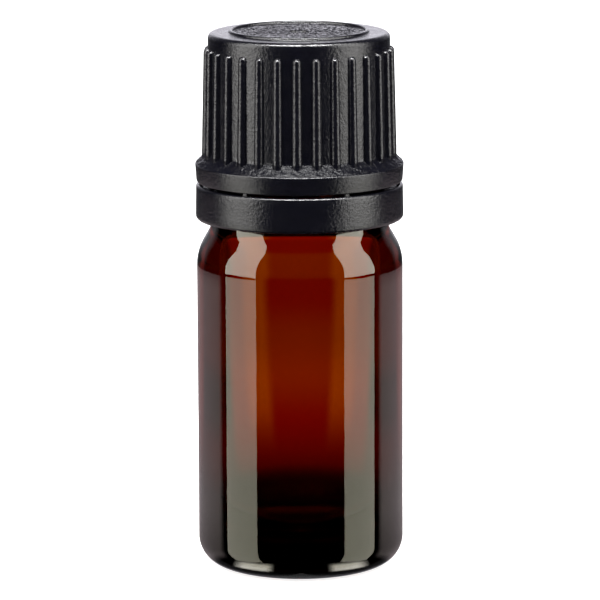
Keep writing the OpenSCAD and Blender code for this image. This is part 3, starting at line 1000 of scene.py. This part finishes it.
GLOSS_WIDE_ROUND = (0.60, 0.80, 0.0, 0.3)
GLOSS_BACK_ROUND = (0.93, 0.985, 0.0, 1.4)
GLOSS_TOP_UP = (0.35, 0.75, 1.0, 0.0)
GLOSS_LOW_UP = (-0.12, 0.08, 0.15, 1.0)
FILL_LEVEL = 0.5
FILL_COLOUR = (0.93, 0.91, 1.0, 1)
SIDE_SHARE = 0.105
THROUGH_UP = (0.10, 0.22, 1.0, 0.0)
WORLD_STRIP_END_ROUND = (0.9955, 0.9985, 1.0, 0.0)

world = bpy.data.worlds.new("studio")
bpy.context.scene.world = world
world.use_nodes = True
tree = world.node_tree
tree.nodes.clear()
output = tree.nodes.new("ShaderNodeOutputWorld")
background = tree.nodes.new("ShaderNodeBackground")
tree.links.new(background.outputs[0], output.inputs["Surface"])
coords = tree.nodes.new("ShaderNodeTexCoord")
path = tree.nodes.new("ShaderNodeLightPath")
_, behind, up = polar(tree, coords.outputs["Generated"])

# Strength
back = math_node(
    tree, "ADD", smooth(tree, behind, *GLOSS_WIDE_ROUND), smooth(tree, behind, *GLOSS_BACK_ROUND))
back = product(tree, back, smooth(tree, up, *GLOSS_TOP_UP), smooth(tree, up, *GLOSS_LOW_UP))
# Painted light that only the glass lets through: a glow behind the bottle, dimmer to the sides and
# above
lit = product(
    tree, smooth(tree, behind, *LIT_ROUND, SIDE_SHARE * THROUGH_LEVEL, THROUGH_LEVEL),
    smooth(tree, up, *THROUGH_UP))
strength = mixed(tree, path.outputs["Is Glossy Ray"], FILL_LEVEL, back, "FLOAT")
strength = mixed(tree, path.outputs["Is Transmission Ray"], strength, lit, "FLOAT")
strength = mixed(tree, path.outputs["Is Camera Ray"], strength, 1.0, "FLOAT")
tree.links.new(strength, background.inputs["Strength"])

# Colour, with the painted amber strips that only the glass sees
strips = product(
    tree, smooth(tree, behind, *STRIP_START_ROUND), smooth(tree, behind, *WORLD_STRIP_END_ROUND))
colour = mixed(tree, strips, THROUGH_DISTANT, THROUGH_STRIPS)
colour = mixed(tree, path.outputs["Is Transmission Ray"], FILL_COLOUR, colour)
colour = mixed(tree, path.outputs["Is Camera Ray"], colour, WHITE)
tree.links.new(colour, background.inputs["Color"])


# Lights, in metres: two tall panels beside the bottle, each in two parts, and one overhead

PANEL_A = 70
PANEL_D = 0.37
PANEL_W = 0.276
PANEL_COLOUR_LOW = (1.0, 0.985, 0.90)
PANEL_COLOUR_HIGH = (1.0, 0.985, 0.96)
PANEL_LOW = (-0.30, -0.029, 2.95)  # bottom, top, radiance
PANEL_HIGH = (-0.003, 0.75, 6.0)  # bottom, top, radiance
TOP_PLACE = (0, -0.157, 0.439)
TOP_AIM = (0, 0, 0.05)
TOP_W = 0.45
TOP_H = 0.08
TOP_RADIANCE = 80.0


def panel(name, place, aim, width, height, radiance, colour=(1, 1, 1)):
    light = bpy.data.lights.new(name, "AREA")
    light.color = colour
    light.shape = "RECTANGLE"
    light.size = width
    light.size_y = height
    light.energy = radiance * math.pi * width * height
    obj = bpy.data.objects.new(name, light)
    obj.location = place
    obj.rotation_euler = (Vector(aim) - Vector(place)).to_track_quat("-Z", "Y").to_euler()
    obj.visible_transmission = False
    bpy.context.scene.collection.objects.link(obj)


panel_parts = (("low", PANEL_LOW, PANEL_COLOUR_LOW), ("high", PANEL_HIGH, PANEL_COLOUR_HIGH))
for name, side in (("left", -1), ("right", 1)):
    a = math.radians(PANEL_A)
    x, y = side * PANEL_D * math.sin(a), -PANEL_D * math.cos(a)
    for part, (z0, z1, radiance), colour in panel_parts:
        z = (z0 + z1) / 2
        panel_name = "panel_" + name + "_" + part
        panel(panel_name, (x, y, z), (0, 0, z), PANEL_W, z1 - z0, radiance, colour)
panel("panel_top", TOP_PLACE, TOP_AIM, TOP_W, TOP_H, TOP_RADIANCE)


# Camera: distance and height of its aim in metres, elevation and roll in degrees, lens in mm

CAMERA_D = 0.490
CAMERA_EL = 10.7
CAMERA_AIM_Z = 0.02864
CAMERA_LENS = 274.7
CAMERA_SENSOR = 36.0
CAMERA_ROLL = -0.24
camera_data = bpy.data.cameras.new("camera")
camera_data.lens = CAMERA_LENS
camera_data.sensor_width = CAMERA_SENSOR
camera = bpy.data.objects.new("camera", camera_data)
el = math.radians(CAMERA_EL)
camera.location = (0, -CAMERA_D * math.cos(el), CAMERA_AIM_Z + CAMERA_D * math.sin(el))
camera.rotation_mode = "QUATERNION"
tilt = Euler((math.radians(90) - el, 0, 0)).to_quaternion()
camera.rotation_quaternion = tilt @ Quaternion((0, 0, 1), math.radians(CAMERA_ROLL))
bpy.context.scene.collection.objects.link(camera)
bpy.context.scene.camera = camera

bpy.context.scene.view_settings.view_transform = "Standard"

bpy.context.view_layer.update()
